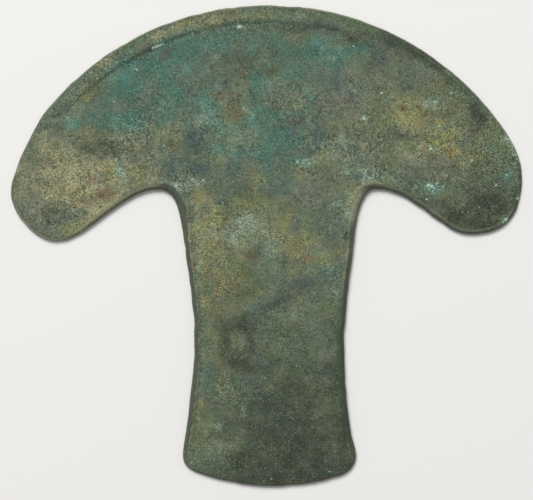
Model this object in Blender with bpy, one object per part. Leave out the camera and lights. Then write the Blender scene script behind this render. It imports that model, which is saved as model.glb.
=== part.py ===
"""Axe money: one hammered copper plate in the outline of a broad, thin axe.

A crescent blade runs through two armpits into a waisted shank, which flares to a low bowed butt. The
margins of the shank and the undersides of the wings are hammered up into a narrow ridge, and the crown
of the blade has a low lip with a small step behind it. The plate lies face up on its flat back: +Z is
up, +Y points to the blade and X runs across it. The origin is on the back, under the middle of the box.
"""

import math

import bmesh
import bpy
from mathutils import Vector

NAME = "axe_money"
MM = 0.001

# The crown of the blade and the foot of the butt are arcs. Bearings are degrees clockwise from +Y.
CROWN_CENTRE = (0.4, -13.5)
CROWN_RADIUS = 84.0
CROWN_BEARINGS = (-50, -25, 0, 25, 54)
BUTT_CENTRE = (2.0, -6.5)
BUTT_RADIUS = 64.0
BUTT_BEARINGS = (162.5, 180, 200)

# Stations along the hand-cut edge, clockwise: x and y in millimetres, and the heading of the edge in
# degrees from +X. The left and right wings differ, as the smith left them.
RIGHT_EDGE = {
    "wing side": (75.0, 19.8, -90),
    "tip shoulder": (71.4, 7.7, -129),
    "tip foot": (60.0, 3.3, -179),
    "wing underside": (47.4, 9.55, -216),
    "armpit roof": (32.3, 16.5, -180),
    "armpit side": (27.1, 10.7, -106),
    "shank shoulder": (25.2, -2.2, -97),
    "waist": (22.7, -29.2, -90),
    "flare": (25.1, -56.2, -79),
    "butt corner": (26.1, -62.2, -95),
}
LEFT_EDGE = {
    "butt corner": (-24.6, -62.0, -273),
    "flare": (-23.4, -52.2, -277),
    "waist": (-21.2, -28.2, -270),
    "shank shoulder": (-23.8, -2.2, -262),
    "armpit side": (-26.0, 11.0, -254),
    "armpit roof": (-31.6, 16.45, -181),
    "wing underside": (-46.0, 9.95, -146),
    "tip foot": (-61.7, 1.35, -180),
    "tip shoulder": (-71.2, 6.6, -227),
    "wing side": (-75.0, 15.3, -270),
    "wing": (-71.5, 27.2, -296),
}
STEPS_BETWEEN_STATIONS = 8

# Thickness of the plate in millimetres, and the shallow rise and fall that the hammer left in it.
SHANK_THICKNESS = 1.7
CROWN_THICKNESS = 1.3
HAMMER_DEPTH = 0.07
HAMMER_SPACING = 17.0

# Cross-sections of the edge, from the outline inwards: distance from the outline, and rise above the
# face of the plate, in millimetres. The margin is this wide at the armpits, and slimmer at the waist.
PLAIN_SECTION = ((0.0, -0.55), (0.45, -0.22), (1.1, -0.08), (1.9, 0.0), (2.8, 0.0), (4.2, 0.0))
MARGIN_SECTION = ((0.0, -0.35), (0.6, 0.25), (1.5, 0.85), (2.2, 0.55), (3.3, -0.05), (4.6, 0.0))
LIP_SECTION = ((0.0, -0.45), (0.45, -0.15), (2.4, 0.06), (4.5, 0.28), (5.4, -0.1), (7.2, 0.0))
MARGIN_WAIST_WIDTH = 0.72
ARRIS_HEIGHT = 0.35
ARRIS_REACH = 0.5

# Where the raised margin and the lip change and run out, in millimetres along X and Y and in degrees
# of bearing from the crown's centre.
MARGIN_BUTT_FADE = (-64.0, -50.0)
MARGIN_WIDENING = (-25.0, 5.0)
MARGIN_WING_FADE = (36.0, 64.0)
MARGIN_TOP = 25.0
LIP_LEFT_FADE = (-62.0, -40.0)
LIP_RIGHT_FADE = (10.0, 28.0)

# The face inside the margins is cut into squares of about this size, to take the hammering.
FACE_SPACING = 8.0
CUT_SNAP = 0.4
FIRST_INSET = 0.1
WELD = 1e-6

PATINA = (0.124, 0.155, 0.103, 1.0)
PATINA_ROUGHNESS = 0.72
PATINA_METALLIC = 0.25


def ramp(low, high, value):
    """0 below low, 1 above high, and a smooth rise between them."""
    t = min(max((value - low) / (high - low), 0.0), 1.0)
    return t * t * (3.0 - 2.0 * t)


def arc_stations(centre, radius, bearings):
    """Stations on an arc: place, and the heading of an edge that runs clockwise along it."""
    stations = []
    for bearing in bearings:
        angle = math.radians(bearing)
        x = centre[0] + radius * math.sin(angle)
        y = centre[1] + radius * math.cos(angle)
        stations.append((x, y, -bearing))
    return stations


def outline_stations():
    """Every station of the outline, clockwise from the left end of the crown."""
    stations = arc_stations(CROWN_CENTRE, CROWN_RADIUS, CROWN_BEARINGS)
    stations += RIGHT_EDGE.values()
    stations += arc_stations(BUTT_CENTRE, BUTT_RADIUS, BUTT_BEARINGS)
    stations += LEFT_EDGE.values()
    return stations


def direction(heading):
    """The unit vector of a heading."""
    angle = math.radians(heading)
    return Vector((math.cos(angle), math.sin(angle), 0.0))


def handle_reach(chord, turn):
    """Length of a Bezier handle that draws an arc which turns by this angle over this chord."""
    turn = abs(turn)
    if turn < 0.001:
        return chord / 3.0
    return chord * (4.0 / 3.0 * math.tan(turn / 4.0)) / (2.0 * math.sin(turn / 2.0))


def outline_curve():
    """The outline as one closed Bezier curve, filled and drawn out to a flat blank."""
    curve = bpy.data.curves.new(NAME + "_outline", "CURVE")
    curve.dimensions = "2D"
    curve.fill_mode = "BOTH"
    curve.resolution_u = STEPS_BETWEEN_STATIONS
    curve.extrude = SHANK_THICKNESS * MM / 2.0
    spline = curve.splines.new("BEZIER")
    spline.use_cyclic_u = True
    stations = outline_stations()
    spline.bezier_points.add(len(stations) - 1)
    for index, (x, y, heading) in enumerate(stations):
        next_x, next_y, next_heading = stations[(index + 1) % len(stations)]
        start = Vector((x, y, 0.0)) * MM
        end = Vector((next_x, next_y, 0.0)) * MM
        turn = math.remainder(math.radians(next_heading - heading), math.tau)
        reach = handle_reach((end - start).length, turn)
        point = spline.bezier_points[index]
        next_point = spline.bezier_points[(index + 1) % len(stations)]
        point.handle_left_type = "FREE"
        point.handle_right_type = "FREE"
        point.co = start
        point.handle_right = start + direction(heading) * reach
        next_point.handle_left = end - direction(next_heading) * reach
    return bpy.data.objects.new(NAME + "_outline", curve)


def blank_plate(collection):
    """The flat blank as a mesh object, with its caps welded to its wall."""
    outline = outline_curve()
    collection.objects.link(outline)
    depsgraph = bpy.context.evaluated_depsgraph_get()
    mesh = bpy.data.meshes.new_from_object(outline.evaluated_get(depsgraph))
    mesh.name = NAME
    plate = bpy.data.objects.new(NAME, mesh)
    plate.matrix_world = outline.matrix_world
    collection.objects.link(plate)
    bpy.data.objects.remove(outline)
    blank = bmesh.new()
    blank.from_mesh(mesh)
    bmesh.ops.remove_doubles(blank, verts=blank.verts, dist=WELD)
    blank.to_mesh(mesh)
    blank.free()
    return plate


def plate_height(x, y):
    """Height of the plate's face in millimetres: thinned towards the crown, and hammered by hand."""
    from_centre = math.hypot(x - CROWN_CENTRE[0], y - CROWN_CENTRE[1]) / CROWN_RADIUS
    thinned = ramp(-10.0, 25.0, y) * ramp(0.35, 1.0, from_centre)
    height = SHANK_THICKNESS + (CROWN_THICKNESS - SHANK_THICKNESS) * thinned
    wave = math.tau / HAMMER_SPACING
    across = math.sin(wave * (x + 0.3 * y))
    along = math.sin(wave * (0.8 * y - 0.25 * x) + 1.0)
    return height + HAMMER_DEPTH * across * along


def margin_share(x, y):
    """How far the edge here is hammered up: fully along the shank and armpits, not at tips and butt."""
    if y > MARGIN_TOP:
        return 0.0
    return ramp(*MARGIN_BUTT_FADE, y) * (1.0 - ramp(*MARGIN_WING_FADE, abs(x)))


def lip_share(x, y):
    """How far the crown's lip stands here: fully at the left of the crown, and not on the wings."""
    if y < MARGIN_TOP:
        return 0.0
    bearing = math.degrees(math.atan2(x - CROWN_CENTRE[0], y - CROWN_CENTRE[1]))
    return ramp(*LIP_LEFT_FADE, bearing) * (1.0 - ramp(*LIP_RIGHT_FADE, bearing))


def edge_section(x, y):
    """The cross-section of the edge at this place of the outline, between the three kinds of edge."""
    margin = margin_share(x, y)
    lip = lip_share(x, y)
    plain = 1.0 - margin - lip
    width = MARGIN_WAIST_WIDTH + (1.0 - MARGIN_WAIST_WIDTH) * ramp(*MARGIN_WIDENING, y)
    section = []
    for plain_point, margin_point, lip_point in zip(PLAIN_SECTION, MARGIN_SECTION, LIP_SECTION):
        reach = plain * plain_point[0] + margin * margin_point[0] * width + lip * lip_point[0]
        rise = plain * plain_point[1] + margin * margin_point[1] + lip * lip_point[1]
        section.append((reach, rise))
    return section


def single_face(mesh, up):
    """Joins the loose triangles of the top or the bottom cap into one face."""
    cap = [face for face in mesh.faces if face.normal.z * up > 0.5]
    return bmesh.ops.dissolve_faces(mesh, faces=cap)["region"][0]


def outward_directions(loop):
    """The direction out of the plate at each point of the rim, square to the edge."""
    twice_area = 0.0
    for index, point in enumerate(loop):
        before = loop[index - 1].co
        twice_area += before.x * point.co.y - point.co.x * before.y
    side = math.copysign(1.0, twice_area)
    directions = []
    for index in range(len(loop)):
        along = loop[(index + 1) % len(loop)].co - loop[index - 1].co
        directions.append(Vector((along.y, -along.x, 0.0)).normalized() * side)
    return directions


def inset_loop(mesh, face):
    """Insets the face, and gives the points of its new border, in step with those of the old one."""
    bmesh.ops.inset_region(mesh, faces=[face], thickness=FIRST_INSET * MM, use_boundary=True)
    return list(face.verts)


def shape_top(mesh):
    """Raises the margins and the lip from loops along the edge, and hammers the face inside them."""
    face = single_face(mesh, 1.0)
    loop = list(face.verts)
    outward = outward_directions(loop)
    places = [point.co.copy() for point in loop]
    sections = [edge_section(place.x / MM, place.y / MM) for place in places]
    for level in range(len(PLAIN_SECTION)):
        if level > 0:
            loop = inset_loop(mesh, face)
        for point, place, out, section in zip(loop, places, outward, sections):
            reach, rise = section[level]
            point.co = place - out * reach * MM
            point.co.z = (plate_height(point.co.x / MM, point.co.y / MM) + rise) * MM
    hammer_face(mesh, face)


def hammer_face(mesh, face):
    """Cuts the face into squares, and gives each new corner the height of the hammered plate."""
    cells = [face]
    border = list(face.verts)
    for axis in (Vector((1.0, 0.0, 0.0)), Vector((0.0, 1.0, 0.0))):
        furthest = max(abs(point.co.dot(axis)) for point in border)
        lines = int(furthest / (FACE_SPACING * MM))
        for line in range(-lines, lines + 1):
            edges = dict.fromkeys(edge for cell in cells for edge in cell.edges)
            points = dict.fromkeys(point for cell in cells for point in cell.verts)
            cut = bmesh.ops.bisect_plane(
                mesh,
                geom=cells + list(edges) + list(points),
                dist=CUT_SNAP * MM,
                plane_co=axis * line * FACE_SPACING * MM,
                plane_no=axis,
            )
            cells = [item for item in cut["geom"] if isinstance(item, bmesh.types.BMFace)]
    for point in dict.fromkeys(point for cell in cells for point in cell.verts):
        point.co.z = plate_height(point.co.x / MM, point.co.y / MM) * MM


def shape_back(mesh):
    """The flat back that the plate lies on, with its arris softened."""
    face = single_face(mesh, -1.0)
    rim = list(face.verts)
    outward = outward_directions(rim)
    places = [point.co.copy() for point in rim]
    for point in rim:
        point.co.z = ARRIS_HEIGHT * MM
    for point, place, out in zip(inset_loop(mesh, face), places, outward):
        point.co = place - out * ARRIS_REACH * MM
        point.co.z = 0.0


def patina_material():
    """Hammered copper under a dull grey-green patina."""
    material = bpy.data.materials.new("patinated_copper")
    material.use_nodes = True
    shader = material.node_tree.nodes["Principled BSDF"]
    shader.inputs["Base Color"].default_value = PATINA
    shader.inputs["Roughness"].default_value = PATINA_ROUGHNESS
    shader.inputs["Metallic"].default_value = PATINA_METALLIC
    return material


for leftover in list(bpy.data.objects):
    bpy.data.objects.remove(leftover, do_unlink=True)

parts = bpy.data.collections.new(NAME + "_parts")
bpy.context.scene.collection.children.link(parts)
axe_money = blank_plate(parts)
form = bmesh.new()
form.from_mesh(axe_money.data)
shape_top(form)
shape_back(form)
bmesh.ops.triangulate(form, faces=form.faces)
bmesh.ops.recalc_face_normals(form, faces=form.faces)
form.to_mesh(axe_money.data)
form.free()
axe_money.data.shade_smooth()
axe_money.data.set_sharp_from_angle(angle=math.radians(40.0))
axe_money.data.materials.append(patina_material())
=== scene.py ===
import math
import random

import bmesh
import bpy
import numpy as np
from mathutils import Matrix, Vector, kdtree, noise


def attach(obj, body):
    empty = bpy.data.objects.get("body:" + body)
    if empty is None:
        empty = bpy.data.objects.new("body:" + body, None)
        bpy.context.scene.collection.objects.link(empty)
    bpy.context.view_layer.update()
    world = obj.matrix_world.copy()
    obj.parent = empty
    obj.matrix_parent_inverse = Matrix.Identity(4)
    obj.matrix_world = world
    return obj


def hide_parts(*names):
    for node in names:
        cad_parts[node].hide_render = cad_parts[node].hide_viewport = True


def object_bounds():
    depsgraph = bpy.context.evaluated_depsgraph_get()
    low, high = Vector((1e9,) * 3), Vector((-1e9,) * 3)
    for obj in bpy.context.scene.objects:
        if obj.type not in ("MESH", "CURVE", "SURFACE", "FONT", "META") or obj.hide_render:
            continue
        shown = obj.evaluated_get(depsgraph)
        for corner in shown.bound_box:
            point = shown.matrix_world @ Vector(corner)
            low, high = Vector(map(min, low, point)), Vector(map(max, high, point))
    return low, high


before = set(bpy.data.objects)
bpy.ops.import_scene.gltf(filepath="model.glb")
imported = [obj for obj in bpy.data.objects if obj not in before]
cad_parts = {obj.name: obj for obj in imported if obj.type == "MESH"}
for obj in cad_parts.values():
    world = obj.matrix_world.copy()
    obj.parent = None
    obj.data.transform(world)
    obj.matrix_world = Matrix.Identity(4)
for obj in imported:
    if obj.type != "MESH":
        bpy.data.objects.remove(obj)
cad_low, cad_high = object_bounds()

# ----------------------------------------------------------------------------------------------------
# The blank. A sheet of copper cast small and beaten out thin, with its margins struck up into a ridge
# and a low lip left along the crown. It is one piece, and it lies face up on its flat back.
# ----------------------------------------------------------------------------------------------------
MM = 0.001
WELD = 0.00001 * MM
# The longest edges of the finer mesh, and the shares of those lengths by which they are approached.
FACE_MESH = 0.78 * MM
BACK_MESH = 2.2 * MM
MESH_STEPS = (8.0, 5.6, 4.0, 2.8, 2.0, 1.6, 1.3, 1.0)
SLIVER = 0.03 * MM
NEARLY_FLAT = 0.03
# How far up a surface looks: the height of its unit normal.
UPRIGHT = 0.2
WALL_TILT = 0.05
LEVEL = 0.9
SLOPING = 0.5
RIM_STEP = 0.25 * MM
RIM_CLEARANCE = 0.3 * MM
MARGIN_REACH = 7.5 * MM
EVENING_PASSES = 12
ROUNDING_PASSES = 3
HALF_WAY = 0.5


def mesh_limit(edge):
    """The longest that this edge may stay: short on the face and the edges, longer on the back."""
    if all(face.normal.z < -UPRIGHT for face in edge.link_faces):
        return BACK_MESH
    return FACE_MESH


def refine(plate):
    """Halves the long edges, longest first, until the mesh can carry hammer marks and corrosion."""
    for times in MESH_STEPS:
        plate.normal_update()
        long_edges = [edge for edge in plate.edges if edge.calc_length() > mesh_limit(edge) * times]
        bmesh.ops.subdivide_edges(plate, edges=long_edges, cuts=1)
        bmesh.ops.triangulate(plate, faces=[face for face in plate.faces if len(face.verts) > 3])
        bmesh.ops.dissolve_degenerate(plate, dist=SLIVER, edges=plate.edges)
    plate.normal_update()
    flat = [edge for edge in plate.edges if edge.calc_face_angle() < NEARLY_FLAT]
    bmesh.ops.beautify_fill(plate, faces=plate.faces, edges=flat)
    plate.normal_update()


blank = bmesh.new()
blank.from_mesh(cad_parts["axe_money"].data)
bmesh.ops.remove_doubles(blank, verts=blank.verts, dist=WELD)
blank.normal_update()

# The rim: points close together along the plate's upright wall, to measure distances from, and which
# way the wall faces at each.
rim_points = []
outward = []
for edge in blank.edges:
    walls = [face.normal for face in edge.link_faces if abs(face.normal.z) < WALL_TILT]
    start, end = (vert.co for vert in edge.verts)
    runs_along = abs(start.z - end.z) < 0.5 * (start - end).xy.length
    if walls and runs_along:
        steps = max(1, int((end - start).length / RIM_STEP))
        rim_points += [start.lerp(end, step / steps) for step in range(steps)]
        outward += [walls[0].copy()] * steps
rim = kdtree.KDTree(len(rim_points))
for index, point in enumerate(rim_points):
    rim.insert(Vector((point.x, point.y, 0.0)), index)
rim.balance()


def from_rim(place):
    """Distance in the plane from a place on the plate to its rim."""
    return rim.find(Vector((place.x, place.y, 0.0)))[2]


refine(blank)

# The facets of the coarse solid are evened out: the open face in every direction, and the margin
# only up and down, so that its ridge keeps its place.
inner = [vert for vert in blank.verts if vert.normal.z > LEVEL and from_rim(vert.co) > MARGIN_REACH]
for _ in range(EVENING_PASSES):
    bmesh.ops.smooth_vert(
        blank, verts=inner, factor=HALF_WAY, use_axis_x=True, use_axis_y=True, use_axis_z=True
    )
margin = [vert for vert in blank.verts if vert.normal.z > SLOPING and from_rim(vert.co) > RIM_CLEARANCE]
for _ in range(ROUNDING_PASSES):
    bmesh.ops.smooth_vert(
        blank, verts=margin, factor=HALF_WAY, use_axis_x=False, use_axis_y=False, use_axis_z=True
    )

# ----------------------------------------------------------------------------------------------------
# The hammered and corroded surface. The hammer left broad shallow dents, and burial left a fine grit
# all over, pits where chlorides ate into the copper, and small warts of green salts on top of it.
# ----------------------------------------------------------------------------------------------------
# Sizes, spacings and depths in millimetres.
DENT_SIZE = 9.0
DENT_STRETCH = 1.3
DENT_BEND = 14.0
DENT_DEPTH = 0.05
DENTS_START = (3.0, 8.0)
GRIT_SIZE = 1.1
GRIT_DEPTH = 0.028
PIT_SIZE = 2.6
PIT_CROWD = 22.0
PIT_FRAY = 0.12
PIT_FRAY_SIZE = 0.8
PIT_DEPTH = 0.13
WART_SIZE = 1.7
WART_CROWD = 13.0
WART_HEIGHT = 0.06
BACK_WAVE = 12.0
BACK_DEPTH = 0.05
BACK_START = (0.5, 4.0)
BACK_SKIN = 0.01 * MM
FACET_SIZE = 7.0
FACET_DEPTH = 0.3
NICK_SIZE = 1.5
NICK_RARITY = 0.1
NICK_DEPTH = 0.1
RIM_SHARE = 2.5
RIM_GRIT = 0.4


def swell(x, y, size, seed, octaves=1):
    """Smooth noise from about -1 to 1 whose lumps are this many millimetres apart."""
    place = Vector((x / size + seed * 7.3, y / size - seed * 3.1, seed * 11.7))
    if octaves == 1:
        return noise.noise(place)
    return noise.fractal(place, 0.6, 2.0, octaves)


def ramp(low, high, value):
    """0 below low, 1 above high, and a smooth rise between them, for a number or an array."""
    share = np.clip((value - low) / (high - low), 0.0, 1.0)
    return share * share * (3.0 - 2.0 * share)


def dents(x, y):
    """Depth of the overlapping hammer dents, from -0.5 to 0.5."""
    bend = swell(x, y, DENT_BEND, 1)
    near = noise.voronoi(Vector((x / DENT_SIZE + bend, y / (DENT_STRETCH * DENT_SIZE) - bend, 2.0)))[0]
    return min(near[1] - near[0], 1.0) - 0.5


def pits(x, y):
    """0 on sound metal and 1 at the bottom of a corrosion pit. Pits come in crowds."""
    crowd = ramp(-0.1, 0.5, swell(x, y, PIT_CROWD, 3, 3))
    near = noise.voronoi(Vector((x / PIT_SIZE, y / PIT_SIZE, 5.0)))[0][0]
    return float(crowd * (1.0 - ramp(0.06, 0.3, near + PIT_FRAY * swell(x, y, PIT_FRAY_SIZE, 4))))


def warts(x, y):
    """1 on top of a small wart of salts, and 0 between them."""
    crowd = ramp(0.0, 0.5, swell(x, y, WART_CROWD, 5, 3))
    near = noise.voronoi(Vector((x / WART_SIZE, y / WART_SIZE, 8.0)))[0][0]
    return float(crowd * (1.0 - ramp(0.05, 0.35, near)))


def worn_back(x, y):
    """How far the hammer and wear have set the rim back here, in millimetres."""
    facet = max(0.0, swell(x, y, FACET_SIZE, 9, 2))
    nick = max(0.0, swell(x, y, NICK_SIZE, 10, 2) - NICK_RARITY)
    return FACET_DEPTH * facet + NICK_DEPTH * nick


# Every point of the skin is moved, and what the finish needs to know of it is kept: the depth of its
# pit, how far it is from the rim, and how far the rim there faces up the plate.
blank.normal_update()
pit_depths = []
rim_reach = []
facing = []
for vert in blank.verts:
    x, y = vert.co.x / MM, vert.co.y / MM
    nearest, number, distance = rim.find(Vector((vert.co.x, vert.co.y, 0.0)))
    reach = distance / MM
    rim_reach.append(reach)
    facing.append(outward[number].y)
    pit = 0.0
    if vert.normal.z > UPRIGHT:
        inside = float(ramp(0.0, 1.0, reach))
        pit = pits(x, y) * inside
        rise = DENT_DEPTH * dents(x, y) * float(ramp(*DENTS_START, reach))
        rise += GRIT_DEPTH * swell(x, y, GRIT_SIZE, 2, 3) * (RIM_GRIT + (1.0 - RIM_GRIT) * inside)
        rise += WART_HEIGHT * warts(x, y) * inside - PIT_DEPTH * pit
        vert.co.z = min(vert.co.z + rise * MM, cad_high.z)
    elif vert.normal.z < -UPRIGHT and vert.co.z < BACK_SKIN:
        waviness = max(0.0, swell(x, y, BACK_WAVE, 6, 4)) * float(ramp(*BACK_START, reach))
        vert.co.z += BACK_DEPTH * waviness * MM
    if reach < RIM_SHARE:
        setback = worn_back(nearest.x / MM, nearest.y / MM) * float(ramp(RIM_SHARE, 0.0, reach))
        vert.co -= outward[number] * setback * MM
    pit_depths.append(pit)

plate_mesh = bpy.data.meshes.new("hammered_plate")
blank.to_mesh(plate_mesh)
blank.free()
plate_mesh.shade_smooth()
hammered_plate = bpy.data.objects.new("hammered_plate", plate_mesh)
bpy.context.scene.collection.objects.link(hammered_plate)
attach(hammered_plate, "root")
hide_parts("axe_money")

# ----------------------------------------------------------------------------------------------------
# The stains. Buried copper takes its colours in patches, one salt or soil lying over another. Each
# patch is x, y, half length and half width in millimetres, turn in degrees, and strength.
# ----------------------------------------------------------------------------------------------------
# Blue-green verdigris, thickest under the crown, with bright crystals at a few places.
VERDIGRIS = (
    (-30, 52, 12, 6, 20, 0.85), (-42, 47, 10, 5, 45, 0.65), (-26, 42, 6, 5, 0, 0.5),
    (-44, 36.5, 7.5, 3, 5, 0.85), (-38, 37, 3, 3, 0, 0.5), (-21, 60, 8, 4, 15, 0.8),
    (-50, 40, 5, 4, 0, 0.4), (-56, 35.6, 3.5, 2, 10, 0.85), (-33, 41, 4, 4, 0, 0.5),
    (-38, 53, 8, 2.5, 28, 0.6), (-18, 45, 3, 3, 0, 0.5), (-17.5, 39.5, 3, 4, 0, 0.7),
    (-4, 37.5, 2.5, 3.5, 0, 0.7), (-4, 46, 2.5, 7, 0, 0.65), (14, 57.5, 8, 4.5, 0, 0.9),
    (22, 56, 5, 3, 0, 0.8), (27, 58, 2, 2, 0, 0.6), (-4, 61, 14, 4, 0, 0.5), (7, 50, 5, 3, 0, 0.4),
    (4, 33, 6, 8, 0, 0.7), (10, 31, 5, 6, 0, 0.55), (0, 26, 3.5, 7, 0, 0.55), (9, 24.3, 5, 1.4, -5, 0.7),
    (5, 19, 3, 3, 0, 0.4), (48.7, 17, 3, 1.8, -10, 0.85), (51, 34.5, 2, 1.2, 0, 0.5),
    (70.5, 20.5, 3, 2, 0, 0.5), (66, 27, 4, 5, 0, 0.3), (19, -8, 4, 2.5, 20, 0.4), (4, -4, 3, 3, 0, 0.45),
    (-18, -38, 2.6, 4, 0, 0.4), (-15, -64, 3, 3, 0, 0.35), (-24, 46, 5, 3, 0, 0.35),
    (-8, 32, 10, 11, 0, 0.3), (6, 50, 16, 8, 0, 0.25), (0, 65.8, 6, 1.4, 0, 0.35),
    (26, 64.5, 5, 1.5, -25, 0.3),
)
# Paler mint, where the verdigris has turned powdery.
MINT = (
    (48.9, 17, 3.6, 1.7, -8, 0.8), (-31.5, 58.3, 2.6, 0.7, 22, 0.3), (70.3, 20.5, 2.4, 1.8, 0, 0.5),
    (-43.5, 36.4, 5.5, 2, 0, 0.65), (-40, 34.6, 3, 1.2, 0, 0.4), (-25, 51, 5, 2.6, 10, 0.5),
    (-40, 51.5, 3.5, 1.8, 20, 0.55), (-45, 50, 3, 2, 40, 0.3), (-17.5, 39, 3, 3, 0, 0.6),
    (-4, 38, 2.2, 2.8, 0, 0.65), (-4, 27, 2.4, 2, 0, 0.45), (-57, 35.4, 3, 1.4, 10, 0.35),
    (17, 55.5, 5, 2.2, 0, 0.45), (-30, 41, 3, 2.4, 0, 0.45), (-6, 30, 4, 5, 0, 0.4),
    (0, 48, 3, 4, 0, 0.4), (6, 48, 4, 3, 0, 0.3), (-4, 57, 3, 3, 0, 0.4), (-12, 60, 4, 2, 0, 0.3),
    (-30, 53, 4, 2, 20, 0.35), (-16, 55, 2.4, 2, 0, 0.4), (11, 24.5, 5, 1.4, -5, 0.4),
    (12, 42, 4, 3, 0, 0.3), (24, 48, 4, 3, 0, 0.3), (17, 58, 4, 2, 0, 0.45), (-14, 35, 3, 3.4, 0, 0.6),
    (-14, 27.6, 3, 2.4, 0, 0.6), (30, 54, 4, 3, 0, 0.25), (-20, 36, 5, 2, 0, 0.35),
)
# Grey-blue to violet slate: cuprite and soil bound together.
SLATE = (
    (-20, 30, 5, 5, 0, 0.7), (-20, 23, 7, 3.5, 10, 0.9), (-27, 24, 4, 3, 0, 0.6),
    (-24, 33, 4, 3, 0, 0.45), (-32.5, 57, 5, 2, 20, 0.9), (-37, 43, 3.5, 4.5, 0, 0.7),
    (-25, 51.5, 2, 1, 0, 0.5), (-7, 27.5, 2.6, 2.2, 0, 0.6), (-10, 21.5, 4.5, 2.2, 5, 0.6),
    (15, 32, 3, 4.5, 15, 0.7), (14, 27, 2, 2, 0, 0.5), (1, 39, 3, 4, 0, 0.5),
    (-11, 63.5, 10, 1.8, 8, 0.7), (18, 64, 6, 1.7, -10, 0.7), (19, 48, 6, 3.5, 0, 0.5),
    (9, 57, 2.5, 3, 0, 0.4), (2, 57, 3, 2, 0, 0.4), (-22, 46, 5, 2.2, 0, 0.3), (33, 57, 7, 4, -10, 0.6),
    (39.5, 32, 2.3, 1.4, 0, 0.9), (62, 37, 3, 4, 20, 0.45), (42, 48, 5, 3, 0, 0.4),
    (9, -12.5, 6.5, 2.6, 18, 0.65), (2.5, -17, 5.5, 2.4, 35, 0.5), (-4, -20.5, 4.5, 2, 25, 0.3),
    (17, -10, 4.5, 3, 35, 0.45), (14, 10, 6, 5, 0, 0.25), (16, -24, 3.5, 5, 0, 0.4),
    (-2, -33, 2, 5, 0, 0.5), (2, -66, 7, 3.5, 0, 0.5), (-3.5, -57, 2, 4, 0, 0.5),
    (6, -52, 5, 2.5, 0, 0.4), (-61, 8.5, 5, 3.5, 0, 0.9), (-9, 17, 5, 3, 0, 0.3),
    (28, 20.8, 9, 1.4, -8, 0.65),
)
# Dull plum, where cuprite shows through the verdigris.
PLUM = (
    (-30.5, 56, 4, 1.5, 20, 0.7), (-25.5, 52, 2.4, 1.2, 0, 0.4), (-37, 43.5, 2.4, 2.6, 0, 0.35),
    (8.6, 36.5, 3, 2.6, 0, 0.5), (19, 47, 4, 2.4, 0, 0.2), (-23, 45.5, 3, 1.4, 0, 0.2),
)
# Ochre and buff earth, held on the wings, across the top of the shank, and along the crown's lip.
OCHRE = (
    (-60, 24, 9, 4.5, 0, 0.2), (-51, 19, 8, 5, 0, 0.2), (-60, 16, 7, 3.5, 0, 0.25),
    (-48.5, 10.5, 7, 2, 36, 0.45), (-45, 22, 1.6, 4, 25, 0.4), (-40, 21, 3.5, 3.5, 0, 0.5),
    (-43, 31.5, 4, 1.6, 0, 0.2), (-53, 43.5, 5, 1.8, 42, 0.35), (-56, 5, 5, 2.5, 15, 0.4),
    (-32, 61.5, 5, 1.3, 25, 0.1), (-25, 64.3, 6, 1.4, 18, 0.35), (-15, 66.8, 5, 1.3, 12, 0.25),
    (-3, 66.9, 5, 1.2, 2, 0.3), (-45, 55, 8, 1.8, 36, 0.1), (-20.5, 15, 4, 3.5, 0, 0.35),
    (-30, 32, 6, 3, 0, 0.35), (-3, 20, 2.2, 5, 0, 0.4), (-13, 27, 2, 6, 0, 0.25),
    (-6.5, 39.5, 1.2, 1.2, 0, 0.6), (-19.5, 35.5, 2.2, 1.2, 0, 0.4), (16, 26, 3, 1.6, 0, 0.3),
    (10, 20.5, 2.5, 2, 0, 0.35), (40, 41, 5, 3.6, 0, 0.55), (42.5, 37.5, 6, 3, -5, 0.6),
    (54, 34.5, 6, 3.5, -20, 0.35), (53, 29, 5, 3, 0, 0.6), (60, 26, 5, 4, 0, 0.3),
    (25, 15, 1.6, 4.5, 0, 0.3), (-19, 7, 4, 4.5, 0, 0.5), (-13, 8, 3, 3.5, 0, 0.3),
    (-3, 12.5, 5, 2, 5, 0.4), (4.5, 7.5, 3, 3.5, 0, 0.35), (7, 2, 5, 3, 0, 0.3), (-17, 1, 4, 2, 0, 0.1),
    (10, -1, 6, 3, 0, 0.25), (18, -4, 3, 2.5, 0, 0.3), (-11, -10, 5, 4.5, 0, 0.3),
    (-18.5, -17, 4, 5, 0, 0.55), (-19, -5, 3, 5, 0, 0.3), (0, -13.5, 3.5, 1, 5, 0.15),
    (3, -8, 3, 1.5, 0, 0.25), (21.5, -2, 2.2, 2.4, 0, 0.2), (-19, -46, 2.2, 6, 0, 0.1),
    (-12, -42.5, 4, 2, 0, 0.2), (17, -33, 4, 3, 0, 0.15), (-19, -59, 3, 3, 0, 0.1),
    (10, -44, 7, 5, 0, 0.1), (3, -39, 4, 3, 0, 0.3), (0, -1, 22, 13, 0, 0.25), (50, 33, 12, 9, -10, 0.15),
)
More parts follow.
